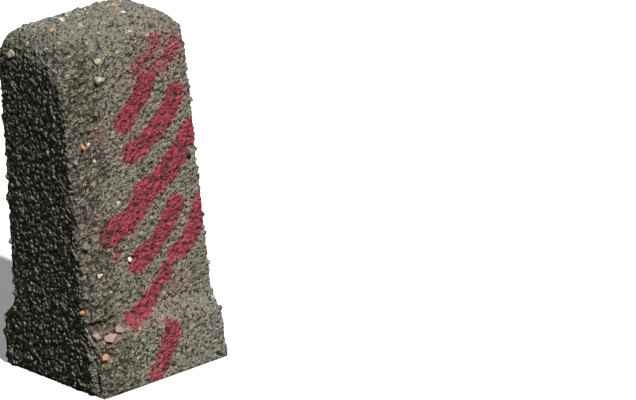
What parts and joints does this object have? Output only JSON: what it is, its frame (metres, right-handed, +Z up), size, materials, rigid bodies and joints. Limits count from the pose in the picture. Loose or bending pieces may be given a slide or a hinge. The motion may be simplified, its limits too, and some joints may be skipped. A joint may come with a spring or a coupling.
{
  "type": "parking stop block",
  "caption": "Upright free-standing precast concrete stop block with a flared foot, a rounded top and coarse stones showing in its worn skin.",
  "frame": {"origin": "centre of the base rectangle, on the surface that the block stands on", "axes": "+Z up; X runs along the block from end to end, with the block leaning towards -X; -Y is the front, the side that carries the paint"},
  "size_m": [0.2186, 0.157, 0.4018],
  "materials": {
    "concrete": "rough, weathered, sand and fine gravel showing",
    "cream_flint": "smooth, matt",
    "white_quartz": "smooth, satin",
    "ochre_flint": "smooth, matt",
    "grey_basalt": "matt",
    "pink_granite": "rough, matt",
    "bar_steel": "hot rolled, lightly rusted",
    "link_steel": "cold drawn, lightly rusted",
    "tie_wire": "black annealed",
    "spacer_plastic": "moulded, matt"
  },
  "bodies": {
    "root": {"concrete_body": "concrete", "cream_flint_stones": "cream_flint", "white_quartz_stones": "white_quartz", "ochre_flint_stones": "ochre_flint", "grey_basalt_stones": "grey_basalt", "pink_granite_stones": "pink_granite", "main_bar_front_left": "bar_steel", "main_bar_front_right": "bar_steel", "main_bar_rear_right": "bar_steel", "main_bar_rear_left": "bar_steel", "link_bottom": "link_steel", "link_lower": "link_steel", "link_upper": "link_steel", "link_top": "link_steel", "tie_wires": "tie_wire", "bar_spacers": "spacer_plastic"}
  },
  "joints": []
}
